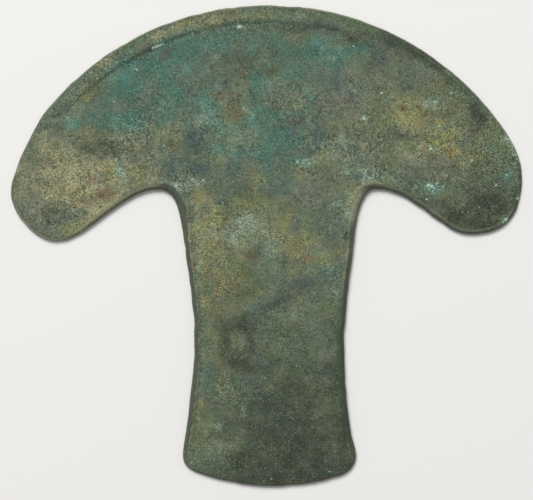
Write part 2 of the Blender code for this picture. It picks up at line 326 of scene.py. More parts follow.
# Pale buff earth: the whole left wing under its stains, and the top of the shank.
BUFF = (
    (-61, 19, 11, 9, 10, 0.8), (-50, 21, 8, 6, 0, 0.75), (-50, 14, 8, 4, 30, 0.5),
    (-63, 6, 8, 4, 20, 0.25), (-54, 33, 5, 2.5, 0, 0.1), (-62, 31, 6, 5, 0, 0.45),
    (-38, 26, 6, 5, 0, 0.45), (-33, 21, 4, 3, 0, 0.3), (-17, 6, 7, 6, 0, 0.35),
    (-20, 8.5, 1.8, 4, 0, 0.75), (-18, 0, 5, 5, 0, 0.35), (-13, -1, 8, 4, 0, 0.25), (4, 3, 12, 5, 0, 0.2),
    (45, 38, 12, 8, -10, 0.3), (42, 26, 8, 5, 0, 0.3), (25, 13.5, 2, 4, 0, 0.6),
    (-49.3, 9.6, 7, 1.2, 36, 0.6), (-72.3, 21, 2.2, 6, -8, 0.4), (-19, -50, 3, 9, 0, 0.25),
    (-55, 42, 3, 4, -40, 0.2), (-29, 62.6, 6, 1.3, 22, 0.55), (-14.8, 66.4, 2.2, 1, 10, 0.5),
    (-47, 54.3, 6, 1.3, 38, 0.6), (-3, 67.3, 7, 1.2, 2, 0.3), (-12, 42, 3, 3, 0, 0.3),
    (18, 26, 5, 4, 0, 0.3), (55, 51, 5, 2, -45, 0.3), (23.9, -2.2, 1.3, 1.8, 0, 0.6),
)
# Warm clay, in small soft patches among the buff.
CLAY = (
    (-58, 16.5, 3.5, 1.8, 0, 0.35), (-53.5, 12, 3, 1.8, 0, 0.55), (-60, 19.5, 2, 1.5, 0, 0.35),
    (-50, 8.5, 4, 1.4, 36, 0.5), (-44, 31.5, 3, 1, 0, 0.35), (-53.5, 30, 2, 1.2, 0, 0.1),
    (-66, 22.5, 2, 1.4, 0, 0.35), (-57, 5, 3, 1.5, 20, 0.35), (-38, 30, 2.5, 1.5, 0, 0.35),
    (-18, 14, 3, 2, 0, 0.35), (16, 1, 3, 1.6, 0, 0.35), (-14, -9, 2.4, 2, 0, 0.35),
    (40, 38, 2, 1.4, 0, 0.4), (56, 33, 2.4, 1.6, 0, 0.35), (-26, 32, 2.5, 1.5, 0, 0.1),
    (9, 41, 2.5, 2, 0, 0.3), (-49, 23, 2.5, 1.5, 0, 0.35),
)
# Rust-brown and brick-red spots of bare cuprite and iron.
RUST = (
    (-48, 14.5, 3.2, 2, 0, 0.95), (-63.5, 25.5, 1.3, 1.1, 0, 0.65), (-64, 18, 1.4, 1.4, 0, 0.8),
    (-51, 19, 2.4, 1.6, 0, 0.6), (-55, 13, 3, 2, 0, 0.3), (-13, 44.5, 3.2, 1.8, 0, 0.45),
    (-10, 40, 2, 3.4, 0, 0.5), (8, 44, 2, 2.4, 0, 0.4), (9.5, 36.3, 1.4, 1.2, 0, 0.6),
    (-27, 29.5, 2.4, 2.2, 0, 0.35), (-22.7, -4.5, 0.9, 3, 5, 0.8), (-5, -3.5, 3, 1.5, -30, 0.55),
    (12, -4, 3, 2.2, 0, 0.4), (-15.5, -17.5, 1.2, 3.6, 0, 0.5), (-15, -12, 2.5, 2.5, 0, 0.4),
    (45.5, 37.5, 1.8, 1.4, 0, 0.6), (40, 40.5, 1.6, 2, 0, 0.5), (54, 28, 1.8, 1.6, 0, 0.7),
    (60, 33.5, 1.4, 1.2, 0, 0.7), (-8, 50, 3, 2, 0, 0.35), (55, 40, 2, 2, 0, 0.3),
    (9, -1, 2.4, 1.8, 0, 0.5), (-10, -12, 2.4, 2, 0, 0.35), (28, 30, 2, 3, 0, 0.25),
)
# Dark areas: the right tip, the foot of the shank, and the edge of the step. They are partly soot and
# bare or handled metal, and partly painted shade where the light falls off towards the foot and the right
# tip.
SOOT_AND_SHADE = (
    (66, 12, 9, 5.5, 10, 0.85), (57, 8, 8, 3.5, 0, 0.9), (66, 6, 4, 3, 0, 0.7), (51, 12, 3, 2.4, 0, 0.5),
    (62.5, 38.5, 3, 4, 30, 0.5), (-46, 28.5, 8.5, 2.6, -5, 0.6), (-7, 15.5, 5, 3, 0, 0.45),
    (-11, 12, 4, 2.4, 0, 0.35), (-5, -3, 2.4, 2, 0, 0.5), (8, -60, 18, 11, 0, 0.85),
    (9, -43, 9, 7, 0, 0.55), (0, -47, 7, 3.5, 0, 0.5), (20, -40, 3, 9, 0, 0.4),
    (23.3, 3, 1.2, 1.8, 0, 0.8), (39.5, 32, 2.6, 1.5, 0, 0.6), (62, 38, 2.4, 5, 22, 0.5),
    (9, 63.5, 10, 1.5, -3, 0.6), (23, 62, 8, 1.8, -22, 0.6), (36, 60.5, 7, 2.4, -30, 0.7),
    (47, 55, 9, 2.6, -40, 0.85), (23, -46, 1.2, 7, -8, 0.7), (-8, -64, 7, 4, 0, 0.7),
    (24, -57, 3, 9, 0, 0.7), (18, -66, 6, 3.5, 0, 0.6), (58, 43, 4, 3, 0, 0.15),
    (-8, -23, 5, 2.6, 0, 0.75), (-11.5, -28, 2.6, 5, 0, 0.7), (-4, -30, 2, 6, 0, 0.6),
    (-9, -33.5, 4, 2.6, 0, 0.7), (-6, -36.5, 6, 2.2, 0, 0.7), (-12, 8, 1.4, 2, 0, 0.3),
    (9, -12.5, 7, 2.4, 18, 0.4), (2.5, -17.5, 6, 2.4, 35, 0.4), (-5, -21, 5, 2.4, 20, 0.25),
    (3, -68, 14, 2.5, 0, 0.8), (-42, 52, 9, 1.2, 36, 0.35), (42, 18, 3, 2.6, 0, 0.55),
    (-6, 52, 6, 4, 0, 0.3), (6, -44, 18, 18, 0, 0.35), (62, 20.5, 11, 6, 0, 0.45),
    (-64, 10, 8, 4, 0, 0.45), (-8, -52, 8, 6, 0, 0.3), (-8, 55, 22, 8, 0, 0.2), (-6, -25.8, 6, 2, 0, 0.5),
    (-1, 69.9, 9, 0.9, 0, 0.4), (5, 69, 4, 1.6, 0, 0.35), (-23, -62, 2, 4, 0, 0.5),
    (73.5, 16, 1.2, 7, 0, 0.5), (-69.5, 16.5, 2.5, 4, 0, 0.3), (22, -25, 2, 9, 0, 0.7),
    (22.3, -40, 1.6, 6, 0, 0.5), (45, 13.5, 5, 2, -28, 0.5), (-65, 3, 3, 1.5, 0, 0.25),
    (-1.5, -26.5, 2, 2, 0, 0.4), (74.2, 21.5, 1, 3, 8, 0.6), (-39.5, 30, 2.6, 1.6, 0, 0.35),
    (-65, 2.5, 3, 1.2, 0, 0.3), (73, 12, 1.4, 4, 0, 0.3), (-33.2, 57.9, 2.6, 1.2, 20, 0.6),
    (-10, 67, 2.4, 1.4, 5, 0.5), (8, 67, 3, 1.3, 0, 0.25), (30, 62, 3, 1.4, -20, 0.4),
    (20, 66, 3, 1.2, -8, 0.2), (-45, 26.2, 3, 1.4, 0, 0.3),
)
# Green, waxy patina.
MOSS = (
    (-40, 49, 7, 4, 35, 0.3), (-35, 48, 3, 2.4, 0, 0.3), (-5, -13, 5, 5, 0, 0.5), (4, -24, 5, 4, 0, 0.5),
    (9, -31, 8, 6, 0, 0.6), (17.5, -17, 4, 3, 0, 0.6), (8, -38, 4, 3, 0, 0.4), (-9, -41, 4, 3, 0, 0.4),
    (-13, -50, 5, 6, 0, 0.5), (12, 67, 7, 1.4, -4, 0.6), (27, 65, 7, 1.7, -20, 0.8),
    (37, 60.5, 6, 1.6, -30, 0.5), (-47, 53, 8, 1.6, 38, 0.15), (-47, 28.5, 8, 2.4, -5, 0.5),
    (-39.5, 59, 5, 1.6, 32, 0.75), (69, 27, 3, 7, 15, 0.35), (23.5, 4, 1.4, 3, 5, 0.6),
    (-19, -27, 2, 9, 0, 0.5), (22, -30, 1.5, 12, 0, 0.5), (55, 48, 7, 3, -40, 0.5),
    (34, 27, 8, 6, 0, 0.25), (-64, 38, 4, 6, -35, 0.25), (21, -56, 3, 5, 0, 0.3),
    (-14, -65, 5, 2, 0, 0.5), (-18, -2, 2.5, 3, 0, 0.5), (60, 47, 3, 2, 0, 0.4), (-3, 57, 2.5, 5, 0, 0.3),
    (37, 59.5, 5, 2, -35, 0.5), (0, 66, 6, 1.5, 0, 0.4), (5, 68.5, 6, 1.6, -3, 0.5),
    (-44.5, 26.3, 3, 1.6, 0, 0.35), (-23, -1, 1.4, 3, 0, 0.25), (24.4, 9, 1.4, 4, 0, 0.25),
)
# Pale, chalky carbonates.
CHALK = (
    (-5, 6, 5, 4.5, 0, 0.6), (-9, 3, 3.5, 3.5, 0, 0.6), (-2, 9.5, 3.5, 1.4, 0, 0.25),
    (2, -1, 3, 3, 0, 0.45), (20, 12, 1.8, 1.2, 0, 0.6), (23.8, 12, 1.6, 5, 5, 0.6),
    (-26, 17, 2.4, 2, -40, 0.35), (-20, 18.3, 3.5, 1.4, 0, 0.6), (24, 21.5, 6, 1.2, 0, 0.4),
    (31, 20, 6, 1.6, 0, 0.45), (-18, 38, 3, 3, 0, 0.45), (-12, -41.5, 1.6, 1.2, 30, 0.35),
    (-7, -47, 0.9, 4, 0, 0.5), (-15, -53, 2.6, 2.4, 0, 0.4), (-14, -58, 3, 2, 0, 0.3),
    (21, -13.5, 1.6, 1, 0, 0.7), (-7.5, -28, 2.8, 1.5, 10, 0.35), (-5, -32.5, 1.6, 1, 0, 0.2),
    (18, 54.7, 3, 1, 0, 0.4), (10, 67.3, 5, 1, 0, 0.35), (48, 42, 3.5, 2.2, 0, 0.45),
    (58, 24, 6, 3, 0, 0.1), (-43.3, 21.8, 1.4, 4, 25, 0.8), (5, -21, 5, 2, 0, 0.3),
    (-19.5, -26, 1.2, 7, 0, 0.4), (-4, 38, 2, 3, 0, 0.35), (-15, 55, 1.8, 1.2, 0, 0.4),
    (-32, 59, 3, 0.5, 24, 0.3), (28.7, 37.3, 1, 0.9, 0, 0.9), (48, 28.4, 0.8, 0.6, 0, 0.9),
    (-8, 64, 0.9, 0.6, 0, 0.9), (48, 17.5, 2, 1, 0, 0.5), (70, 7.3, 1.2, 1.2, 0, 0.9),
    (12, 23.5, 3, 1.6, 0, 0.6), (22, 29, 8, 4, 0, 0.4), (-9, 30, 5, 4, 0, 0.3),
    (-60.5, 36.3, 4, 1.6, 0, 0.35), (74, 14, 0.8, 1.2, 0, 0.5), (26, 25, 3, 2, 0, 0.4),
    # The patch at x 72.3, y 28 lightens the right tip's edge as painted light against its shade.
    (-20, -6, 1.8, 10, 0, 0.35), (72.3, 28, 1.8, 4.4, 14, 0.9), (-47, 54, 2.4, 1.2, 38, 0.35),
)
# Neutral ash-grey, where little but dull oxide covers the metal.
ASH = (
    (22, 43, 9, 6, 0, 0.6), (-68, 14, 6, 9, 0, 0.6), (12, 15, 8, 5, 0, 0.5), (32, 26, 9, 6, 0, 0.4),
    (50, 22, 10, 4, 0, 0.4), (17, 16, 4, 4, 0, 0.5), (-60, 4, 8, 2.5, 0, 0.3), (4, 45, 4, 4, 0, 0.4),
    (-30, 35, 7, 3, 0, 0.4), (-52, 31, 6, 2, 0, 0.3), (3, -25, 4, 4, 0, 0.3), (-15, -46, 5, 3, 0, 0.3),
    (17, -34, 5, 4, 0, 0.4), (46, 50, 9, 4, -35, 0.4), (30, 50, 7, 4, 0, 0.4),
)
# Where the corroded surface is coarse and sparkles with grains, rather than smooth and waxy.
GRITTY = (
    (-62, 14, 14, 13, 0, 0.55), (-50, 16, 10, 8, 20, 0.5), (-57, 29, 5, 3, 0, 0.8),
    (-38, 34, 5, 5, 0, 0.9), (-45, 30, 8, 5, 0, 0.6), (-52, 47, 16, 3.5, 43, 0.6),
    (-30, 60, 5, 2, 25, 0.5), (-20, 66, 14, 3, 15, 0.7), (-8, 64, 3, 2, 0, 0.8),
    (-35, 45, 4, 6, 0, 0.3), (-25, 17, 5, 4, -30, 0.9), (-26, 50, 3, 3, 0, 0.6), (17, 54, 4, 3, 0, 0.7),
    (26, 45, 3, 3, 0, 0.8), (34, 45, 2.5, 3, 0, 0.9), (28.5, 37, 2.5, 2.5, 0, 0.8),
    (54, 40, 9, 10, 0, 0.6), (48, 29, 3, 3, 0, 0.9), (68, 22, 8, 8, 0, 0.95), (50, 18, 7, 3, 0, 0.9),
    (31, 21, 7, 3.5, 0, 0.95), (60, 30, 14, 12, 0, 0.6), (70, 10, 5, 6, 0, 0.7),
    (52, 53, 14, 3, -42, 0.7), (60, 11, 3, 3, 0, 0.7), (-20, 5, 4, 7, 0, 0.65), (-10, 5, 9, 6, 0, 0.45),
    (-13, -6, 3, 3, 0, 0.8), (-12, -13, 3, 3, 0, 0.7), (2, 3, 6, 5, 0, 0.4), (-21, -20, 2, 20, 0, 0.6),
    (21, -14, 2.5, 5, 0, 0.7), (23, 10, 2.5, 10, 0, 0.6), (-7, -46, 3, 3, 0, 0.7),
    (-12, -41, 4, 3, 0, 0.7), (19, -66, 3, 2, 0, 0.7), (8, 23, 5, 3, 0, 0.6), (12, -5, 6, 4, 0, 0.4),
    (2, -28, 3, 5, 0, 0.3), (-16, -60, 7, 5, 0, 0.4), (30, 30, 8, 8, 0, 0.3), (-20, 33, 4, 3, 0, 0.3),
)
# Bright crystals standing alone or in a short streak: x, y and half width in millimetres.
CRYSTALS = (
    (-33.5, 57.8, 0.3), (-33.1, 57.95, 0.35), (-32.7, 58.1, 0.35), (-32.3, 58.3, 0.4),
    (-31.9, 58.45, 0.4), (-31.5, 58.65, 0.4), (-31.1, 58.8, 0.35), (-30.7, 58.95, 0.3),
    (-30.3, 59.1, 0.25), (-8.1, 64.1, 0.55), (-7.5, 64.3, 0.35), (-21.7, 62.0, 0.3), (-38.1, 51.6, 0.3),
    (-44.7, 42.2, 0.3), (-30.0, 29.3, 0.3), (-21.7, 19.2, 0.45), (-18.6, 19.1, 0.45),
    (-26.4, 17.4, 0.5), (28.6, 37.3, 0.6), (33.8, 44.6, 0.35), (26.0, 45.2, 0.3), (49.2, 42.2, 0.35),
    (54.1, 44.7, 0.35), (57.3, 44.3, 0.25), (50.6, 35.0, 0.25), (48.0, 28.4, 0.55), (60.0, 24.9, 0.4),
    (46.8, 17.2, 0.3), (47.4, 17.7, 0.65), (48.3, 17.4, 0.55), (49.2, 16.7, 0.4), (49.9, 18.2, 0.35),
    (50.3, 16.4, 0.25), (51.6, 17.1, 0.25), (48.5, 15.8, 0.3), (46.9, 13.6, 0.35), (70.3, 20.6, 0.35),
    (67.3, 17.6, 0.4), (62.3, 11.1, 0.25), (73.6, 13.8, 0.5), (70.0, 7.6, 0.5), (69.3, 6.7, 0.3),
    (25.5, 58.5, 0.25), (40.9, 41.7, 0.3), (52.7, 20.4, 0.3), (9.0, 24.4, 0.4), (10.5, 24.2, 0.35),
    (12.4, 24.0, 0.4), (-16.8, 39.5, 0.25), (-6.7, 40.1, 0.35), (18.4, -66.2, 0.3),
)
# How far a stain's border strays and over what length, in large turns and in small ones, and how wide
# a stain has to be to stray by the whole of it.
WARP = 2.2
WARP_SIZE = 7.0
WARP_FINE = 0.9
WARP_FINE_SIZE = 1.6
WHOLE_WARP_WIDTH = 5.0
FADE = 1.1
# The back's chance patches: how many, within what distance of the middle, and of what sizes.
BACK_TOP = 0.3
BACK_PATCHES = 14
BACK_SPREAD = 65
BACK_LONG = (5, 16)
BACK_WIDE = (3, 9)
BACK_STRENGTH = (0.2, 0.6)
FIRST_SEED = 31

count = len(plate_mesh.vertices)
places = np.zeros(count * 3)
plate_mesh.vertices.foreach_get("co", places)
places = places.reshape(-1, 3) / MM
rim_reach = np.array(rim_reach)
on_back = places[:, 2] < BACK_TOP


def wander(x, y):
    """How far the border of a stain strays from an even ellipse here, across and along."""
    across = WARP * swell(x, y, WARP_SIZE, 21, 3) + WARP_FINE * swell(x, y, WARP_FINE_SIZE, 23)
    along = WARP * swell(x, y, WARP_SIZE, 22, 3) + WARP_FINE * swell(x, y, WARP_FINE_SIZE, 24)
    return across, along


strays = np.array([wander(x, y) for x, y, _ in places])


def spread(patches):
    """How strongly the patches colour each point of the plate, with their borders made ragged."""
    bare = np.ones(count)
    for x, y, long, wide, turn, strength in patches:
        angle = math.radians(turn)
        loose = min(1.0, wide / WHOLE_WARP_WIDTH)
        stray_here = wander(x, y)
        across = places[:, 0] - x + loose * (strays[:, 0] - stray_here[0])
        along = places[:, 1] - y + loose * (strays[:, 1] - stray_here[1])
        u = (across * math.cos(angle) + along * math.sin(angle)) / long
        v = (along * math.cos(angle) - across * math.sin(angle)) / wide
        bare *= 1.0 - strength * np.exp(-FADE * (u * u + v * v))
    return 1.0 - bare


def store(name, values):
    """Stores one number for each point of the plate, for the finish to read."""
    layer = plate_mesh.attributes.new(name, "FLOAT", "POINT")
    layer.data.foreach_set("value", np.asarray(values, np.float32))


def stain(name, patches, seed):
    """Stores one pigment's cover: the given patches on the face, and a few chance ones on the back."""
    chance = random.Random(seed)
    back = []
    for _ in range(BACK_PATCHES):
        x = chance.uniform(-BACK_SPREAD, BACK_SPREAD)
        y = chance.uniform(-BACK_SPREAD, BACK_SPREAD)
        long = chance.uniform(*BACK_LONG)
        wide = chance.uniform(*BACK_WIDE)
        turn = chance.uniform(0, 180)
        back.append((x, y, long, wide, turn, chance.uniform(*BACK_STRENGTH)))
    store(name, np.where(on_back, spread(back), spread(patches)))


STAINS = (
    ("ash", ASH), ("moss", MOSS), ("slate", SLATE), ("verdigris", VERDIGRIS), ("mint", MINT),
    ("buff", BUFF), ("clay", CLAY), ("ochre", OCHRE), ("rust", RUST), ("soot_and_shade", SOOT_AND_SHADE),
    ("chalk", CHALK), ("gritty", GRITTY), ("plum", PLUM),
)
for seed, (name, patches) in enumerate(STAINS, start=FIRST_SEED):
    stain(name, patches, seed)

# The edge's own marks are lines at a set distance from the rim, each along its own stretch of it. A
# stretch is in millimetres across or along the plate, or in degrees around the crown's centre.
CROWN_CENTRE = -13.5
WORN_EVERYWHERE = 0.08


def stretch(place, rise, fall):
    """1 between a rise and a fall, each given by its two ends, and 0 beyond them."""
    return ramp(*rise, place) * (1.0 - ramp(*fall, place))


across = places[:, 0]
along = places[:, 1]
outboard = np.abs(across)
bearing = np.degrees(np.arctan2(across, along - CROWN_CENTRE))
facing = np.array(facing)
left = 1.0 - ramp(-4.0, 4.0, across)
right = 1.0 - left
crown = ramp(20.0, 30.0, along)

# The undersides of the wings, plainest on the left one, whose tip is set apart. Their edges are painted
# pale:
# partly a pale worn edge, partly painted highlight against the shade of their down-facing slopes.
under = (1.0 - ramp(-0.6, -0.2, facing)) * ramp(29.0, 35.0, outboard) * (0.3 + 0.7 * left)
tip = 1.0 - ramp(-61.0, -54.0, across)
# The right armpit, where the margin is painted pale: partly pale wear, partly painted highlight against
# the shade of its slope.
armpit = right * stretch(along, (4.0, 9.0), (15.0, 17.0)) * (1.0 - ramp(30.0, 36.0, across))
# The struck margin beside the shank, which is widest at the armpits.
margin_share = stretch(along, (-66.0, -56.0), (17.0, 22.0)) * (1.0 - ramp(40.0, 56.0, outboard))
margin_share *= (1.0 - 0.6 * under) * (1.0 - 0.8 * armpit) * (0.75 + 0.25 * left)
margin_width = (0.95 + 0.6 * ramp(0.0, 12.0, along)) * (1.0 - 0.55 * ramp(27.0, 36.0, outboard))
# The crown's lip, which is lower on the right, and the step that takes its place there.
lip = stretch(bearing, (-50.0, -38.0), (14.0, 26.0)) * (1.0 - 0.6 * ramp(-14.0, 0.0, bearing))
step = stretch(bearing, (26.0, 33.0), (44.0, 50.0))
# A dark hairline beside the crown's rim, faint but for two places.
nicked = stretch(bearing, (18.0, 26.0), (42.0, 50.0)) + stretch(bearing, (-23.0, -19.0), (-16.0, -12.0))
hairline = (0.4 + 0.6 * nicked) * stretch(bearing, (-58.0, -50.0), (50.0, 58.0))
# The rim is painted pale where it faces up the plate, towards the light, as a painted highlight, and
# painted brown where it faces down it, as painted shade.
rim_highlight_and_wear = ramp(-0.2, 0.3, facing) * (0.75 + 0.25 * ramp(20.0, 40.0, along)) * ramp(-10.0, 6.0, along)

EDGE_MARKS = {
    "pit": pit_depths,
    "rim": rim_reach,
    "crest": rim_reach / margin_width,
    "margin": margin_share,
    # The right margin below the waist, painted dark: partly dark patina, partly painted shade on the side
    # away from the light.
    "dark_margin": right * stretch(along, (-60.0, -52.0), (-16.0, -10.0)),
    "lip": lip * crown,
    "step": step * crown,
    "hairline": hairline * crown,
    "under": under * (1.0 - tip),
    "tip": under * tip,
    "armpit": armpit,
    # Painted highlight on the rim where it faces up the plate, towards the light, over a little wear
    # everywhere.
    "rim_highlight_and_wear": rim_highlight_and_wear + WORN_EVERYWHERE,
    # Painted shade on the rim where it faces down the plate, away from the light, weaker under the wings.
    "shade": (1.0 - ramp(-0.4, 0.1, facing)) * (1.0 - 0.75 * under),
    "face": ~on_back,
}
for name, values in EDGE_MARKS.items():
    store(name, values)

# ----------------------------------------------------------------------------------------------------
# The patina itself: a dull olive-grey skin of oxide, coloured by the stains, gritty all over, with pale
# worn metal along the margin's foot and dark dirt in pits. Along the rim a painted highlight lies where
# the edge faces the light, over a little wear, and painted shade lies on slopes and in grooves facing
# away.
# ----------------------------------------------------------------------------------------------------
OLIVE = (0.121, 0.141, 0.079)
GREY_GREEN = (0.103, 0.136, 0.094)
# Each pigment's colour, and how large and how deep the ragged notches in its border are.
PIGMENTS = {
    "ash": ((0.146, 0.152, 0.112), 4.2, 1.3),
    "moss": ((0.073, 0.113, 0.052), 4.2, 1.8),
    "slate": ((0.066, 0.104, 0.088), 5.0, 1.8),
    "verdigris": ((0.062, 0.146, 0.111), 5.5, 1.8),
    "mint": ((0.112, 0.218, 0.163), 2.6, 1.8),
    "buff": ((0.258, 0.256, 0.155), 4.2, 1.8),
    "clay": ((0.285, 0.228, 0.130), 2.4, 1.8),
    "ochre": ((0.228, 0.230, 0.090), 4.2, 1.8),
    "rust": ((0.165, 0.118, 0.062), 2.4, 1.8),
    # Partly soot, partly painted shade where the light falls off towards the foot and the right tip.
    "soot_and_shade": ((0.045, 0.056, 0.036), 5.0, 1.2),
    "chalk": ((0.230, 0.292, 0.205), 2.6, 1.8),
    "plum": ((0.108, 0.104, 0.092), 2.4, 1.8),
}
# Pale metal: wear on the margin's crest and the step, and a painted highlight on the rim where it faces
# the light.
WORN_AND_HIGHLIGHT = (0.330, 0.292, 0.240)
# Pale edge: partly pale wear, partly painted highlight on slopes that face down the plate.
PALE_EDGE_AND_HIGHLIGHT = (0.290, 0.300, 0.200)
# The margin's dull outer wall, darkened as painted shade of its slope and of the down-facing rim.
FLANK_AND_SHADE = (0.066, 0.080, 0.058)
DEEP_GREEN = (0.035, 0.060, 0.035)
# Painted shade in the groove below the crown's lip.
GROOVE_SHADE = (0.045, 0.066, 0.050)
DIRT = (0.036, 0.045, 0.030)
DARK_GRAIN = (0.080, 0.088, 0.058)
PALE_GRAIN = (0.190, 0.225, 0.165)
SALT = (0.36, 0.47, 0.38)
BLOOM = (0.130, 0.250, 0.190)
CRYSTAL = (0.42, 0.55, 0.45)
# How much of each is laid on, and how far the grain darkens the metal and the tint of it wanders.
DARK_GRAIN_SHARE = 0.85
DIRT_SHARE = 0.8
SALT_SHARE = 0.6
BLOOM_SHARE = 0.27
CRYSTAL_SHARE = 0.8
DARKEST_LUMP = 0.42
TINT_SWING = 0.36

patina = bpy.data.materials.new("copper_patina")
patina.use_nodes = True
nodes = patina.node_tree.nodes
links = patina.node_tree.links
nodes.clear()


def node(kind, **settings):
    """Adds a shader node, with its settings by name."""
    made = nodes.new("ShaderNode" + kind)
    for name, value in settings.items():
        setattr(made, name, value)
    return made


def feed(socket, source):
    """Joins a socket to a source, which is another node's output or a plain number or colour."""
    if isinstance(source, bpy.types.NodeSocket):
        links.new(source, socket)
    elif isinstance(source, tuple):
        socket.default_value = (*source, 1.0)
    else:
        socket.default_value = source


def reckon(operation, first, second=0.5, third=0.5):
    """The result of one operation on up to three numbers."""
    made = node("Math", operation=operation)
    for socket, source in zip(made.inputs, (first, second, third)):
        feed(socket, source)
    return made.outputs[0]


def product(*factors):
    """Several numbers multiplied together."""
    result = factors[0]
    for factor in factors[1:]:
        result = reckon("MULTIPLY", result, factor)
    return result


def between(low, high, value, to_low=0.0, to_high=1.0):
    """A smooth change from to_low to to_high as the value goes from low to high."""
    made = node("MapRange", interpolation_type="SMOOTHSTEP")
    for name, source in zip(
        ("Value", "From Min", "From Max", "To Min", "To Max"), (value, low, high, to_low, to_high)
    ):
        feed(made.inputs[name], source)
    return made.outputs["Result"]


def laid_over(share, below, above):
    """One colour laid over another by a share."""
    made = node("Mix", data_type="RGBA")
    feed(made.inputs[0], share)
    feed(made.inputs[6], below)
    feed(made.inputs[7], above)
    return made.outputs[2]


def layer(name):
    """One of the numbers stored on the plate's points."""
    return node("Attribute", attribute_name=name, attribute_type="GEOMETRY").outputs["Fac"]


in_millimetres = node("Mapping")
in_millimetres.inputs["Scale"].default_value = (1 / MM, 1 / MM, 1 / MM)
links.new(node("TexCoord").outputs["Object"], in_millimetres.inputs["Vector"])


def mottle(size, octaves, roughness, shift):
    """Cloudy noise around 0.5, of lumps this many millimetres across, taken from its own place."""
    moved = node("Mapping")
    moved.inputs["Location"].default_value = (shift, -2.0 * shift, 0.5 * shift)
    links.new(in_millimetres.outputs[0], moved.inputs["Vector"])
    made = node("TexNoise")
    made.inputs["Scale"].default_value = 1.0 / size
    made.inputs["Detail"].default_value = octaves
    made.inputs["Roughness"].default_value = roughness
    links.new(moved.outputs[0], made.inputs["Vector"])
    return made.outputs["Fac"]


def varied(middle, cloud, swing):
    """A number that a noise, which lies around 0.5, carries up and down from a middle value."""
    return reckon("MULTIPLY_ADD", reckon("SUBTRACT", cloud, 0.5), swing, middle)


def line(distance, inner, outer, soft):
    """1 along a line between two distances from the rim, with soft borders."""
    rise = between(inner - soft, inner + soft, distance)
    return product(rise, between(outer + soft, outer - soft, distance))


clouds = mottle(14.0, 4.0, 0.6, 3.0)
grain = mottle(5.0, 4.0, 0.8, 41.0)
sand = mottle(0.8, 1.0, 0.5, 17.0)
dust = mottle(0.36, 1.0, 0.5, 29.0)
coarse = between(0.36, 0.62, mottle(5.0, 3.0, 0.6, 33.0))
gritty = reckon("MULTIPLY_ADD", coarse, 0.42, reckon("MULTIPLY", layer("gritty"), 0.6))

# The skin of oxide, and the pigments over it, each with a ragged border.
NOTCH_OCTAVES = 4.0
NOTCH_ROUGHNESS = 0.66
colour = laid_over(between(0.4, 0.6, clouds), OLIVE, GREY_GREEN)
for number, (name, (pigment, notch_size, notch_depth)) in enumerate(PIGMENTS.items()):
    cover = layer(name)
    notches = mottle(notch_size, NOTCH_OCTAVES, NOTCH_ROUGHNESS, 9.0 * number + 5.0)
    ragged = varied(cover, notches, notch_depth)
    share = product(between(0.0, 1.0, ragged), between(0.0, 0.12, cover))
    colour = laid_over(share, colour, pigment)

# Specks: dark grains sit in the pale earths, and pale grains on the dark ground.
speck = mottle(0.5, 1.0, 0.5, 111.0)
earthy = reckon("MAXIMUM", layer("buff"), layer("ochre"))
plain = reckon("SUBTRACT", 1.0, earthy)
colour = laid_over(product(between(0.33, 0.24, speck), earthy, DARK_GRAIN_SHARE), colour, DARK_GRAIN)
pale_share = product(between(0.6, 0.74, speck), plain, between(0.0, 1.0, gritty, 0.3, 0.8))
colour = laid_over(pale_share, colour, PALE_GRAIN)

# Grain: lighter and darker lumps at every scale down to single crystals, coarser on gritty ground,
# and each place a little warmer or colder than the next.
lumps = varied(0.94, grain, 1.0)
lumps = varied(lumps, sand, between(0.0, 1.0, gritty, 0.6, 2.0))
lumps = varied(lumps, dust, between(0.0, 1.0, gritty, 1.8, 4.4))
shaded = node("VectorMath", operation="SCALE")
feed(shaded.inputs[0], colour)
feed(shaded.inputs["Scale"], reckon("MAXIMUM", lumps, DARKEST_LUMP))
hue = node("CombineXYZ")
feed(hue.inputs[0], varied(1.0, mottle(2.4, 2.0, 0.5, 67.0), TINT_SWING))
feed(hue.inputs[1], 1.0)
feed(hue.inputs[2], varied(1.0, mottle(3.1, 2.0, 0.5, 71.0), TINT_SWING))
tinted = node("VectorMath", operation="MULTIPLY")
feed(tinted.inputs[0], shaded.outputs["Vector"])
feed(tinted.inputs[1], hue.outputs[0])

# Dirt in the pits, and crowds of fine salts.
dirt = reckon("MULTIPLY", layer("pit"), DIRT_SHARE)
colour = laid_over(dirt, tinted.outputs["Vector"], DIRT)
crowds = between(0.3, 0.7, mottle(9.0, 3.0, 0.6, 61.0))
salts = product(between(0.68, 0.8, mottle(0.7, 1.0, 0.5, 77.0)), crowds, SALT_SHARE)
colour = laid_over(salts, colour, SALT)

